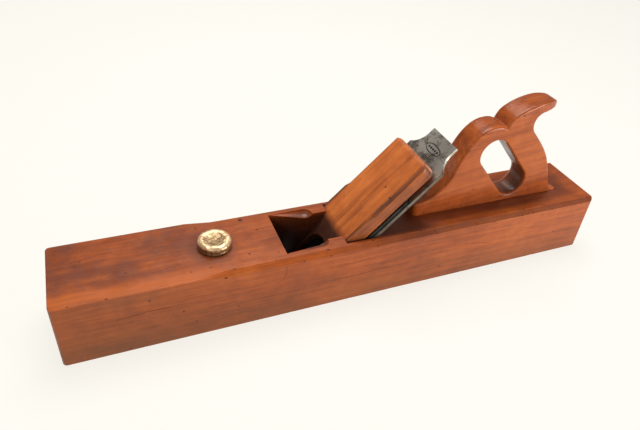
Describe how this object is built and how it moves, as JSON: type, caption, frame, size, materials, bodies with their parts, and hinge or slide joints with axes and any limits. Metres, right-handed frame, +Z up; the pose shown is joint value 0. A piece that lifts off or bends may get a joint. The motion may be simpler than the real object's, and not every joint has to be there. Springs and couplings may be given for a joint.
{
  "type": "wooden hand plane",
  "caption": "Long wooden bench plane with a closed handle, a wedged double iron and a brass strike button.",
  "frame": {"origin": "under the middle of the sole, on the sole's plane", "axes": "+X from the toe to the heel, +Y across to the plane's far side, +Z up from the sole"},
  "size_m": [0.559, 0.08, 0.1806],
  "materials": {
    "stock_beech": "old reddish varnish, worn satin",
    "tote_beech": "reddish varnish, semi-gloss",
    "wedge_beech": "reddish varnish, worn satin",
    "iron_steel": "aged grey steel with dark stains",
    "cap_steel": "blackened steel",
    "boss_brass": "dull brass",
    "screw_steel": "dull steel",
    "button_brass": "hammered pale brass with a bright worn rim"
  },
  "bodies": {
    "stock": {"stock": "stock_beech", "tote": "tote_beech", "strike_button": "button_brass"},
    "iron": {"cutting_iron": "iron_steel"},
    "cap": {"cap_iron": "cap_steel", "cap_boss": "boss_brass"},
    "screw": {"cap_screw": "screw_steel"},
    "wedge": {"wedge": "wedge_beech"}
  },
  "joints": [
    {"name": "iron_slide", "type": "slide", "parent": "stock", "child": "iron", "axis": [0.7071, 0, 0.7071], "range_m": [-0.001, 0.16]},
    {"name": "cap_slide", "type": "slide", "parent": "iron", "child": "cap", "axis": [0.7131, 0, 0.7011], "range_m": [0, 0.015]},
    {"name": "screw_turn", "type": "hinge", "parent": "cap", "child": "screw", "pos_m": [-0.006, 0, 0.05216], "axis": [-0.7011, 0, 0.7131], "continuous": true},
    {"name": "wedge_slide", "type": "slide", "parent": "cap", "child": "wedge", "axis": [0.7131, 0, 0.7011], "range_m": [0, 0.12]}
  ]
}
